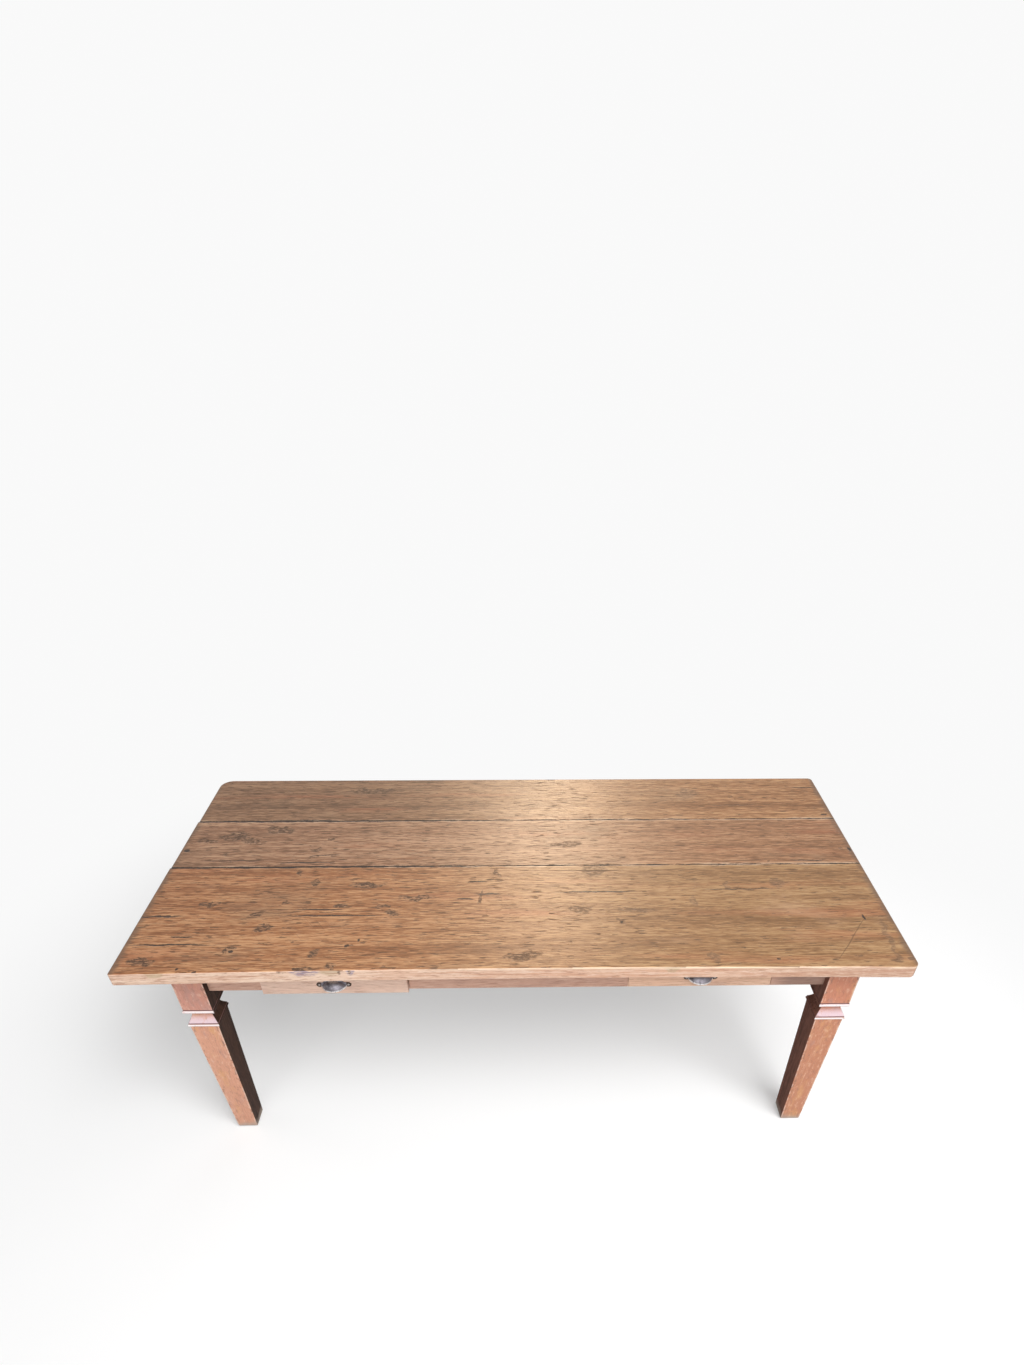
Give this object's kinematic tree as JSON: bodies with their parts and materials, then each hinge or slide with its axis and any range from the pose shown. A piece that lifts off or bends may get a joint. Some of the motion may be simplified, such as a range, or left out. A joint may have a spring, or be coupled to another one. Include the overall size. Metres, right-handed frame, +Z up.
{
  "type": "farmhouse table",
  "caption": "Rectangular farmhouse dining table with a thick plank top, moulded and tapered square legs, and drawers with cup pulls in the front apron.",
  "frame": {"origin": "on the floor, under the middle of the top", "axes": "+X along the table's length to the right as seen from the drawers, +Y from the drawers' side to the back, +Z up"},
  "size_m": [2.08, 0.95, 0.78],
  "materials": {
    "top_wood": "worn, waxed old hardwood, honey brown",
    "frame_wood": "old waxed wood, reddish brown",
    "inner_wood": "unfinished, dusty old wood",
    "pull_iron": "worn dark cast iron",
    "screw_steel": "dull old steel"
  },
  "bodies": {
    "frame": {"top_board_front": "top_wood", "top_board_middle": "top_wood", "top_board_back": "top_wood", "top_tongue_front": "inner_wood", "top_tongue_back": "inner_wood", "top_batten_left": "inner_wood", "top_batten_middle": "inner_wood", "top_batten_right": "inner_wood", "drawer_kicker_left": "inner_wood", "drawer_kicker_right": "inner_wood", "batten_screws": "screw_steel", "leg_front_left": "frame_wood", "leg_front_right": "frame_wood", "leg_back_left": "frame_wood", "leg_back_right": "frame_wood", "apron_front": "frame_wood", "apron_back": "frame_wood", "apron_left": "frame_wood", "apron_right": "frame_wood", "top_buttons": "inner_wood", "button_screws": "screw_steel", "drawer_runner_left_inner": "inner_wood", "drawer_runner_left_outer": "inner_wood", "drawer_runner_right_inner": "inner_wood", "drawer_runner_right_outer": "inner_wood", "drawer_stops": "inner_wood"},
    "drawer_left": {"drawer_left_front": "frame_wood", "drawer_left_side_left": "inner_wood", "drawer_left_side_right": "inner_wood", "drawer_left_back": "inner_wood", "drawer_left_bottom": "inner_wood", "drawer_left_pull": "pull_iron", "drawer_left_pull_screws": "screw_steel"},
    "drawer_right": {"drawer_right_front": "frame_wood", "drawer_right_side_left": "inner_wood", "drawer_right_side_right": "inner_wood", "drawer_right_back": "inner_wood", "drawer_right_bottom": "inner_wood", "drawer_right_pull": "pull_iron", "drawer_right_pull_screws": "screw_steel"}
  },
  "joints": [
    {"name": "drawer_left_slide", "type": "slide", "parent": "frame", "child": "drawer_left", "axis": [0, -1, 0], "range_m": [-0.014, 0.3]},
    {"name": "drawer_right_slide", "type": "slide", "parent": "frame", "child": "drawer_right", "axis": [0, -1, 0], "range_m": [0, 0.3]}
  ]
}
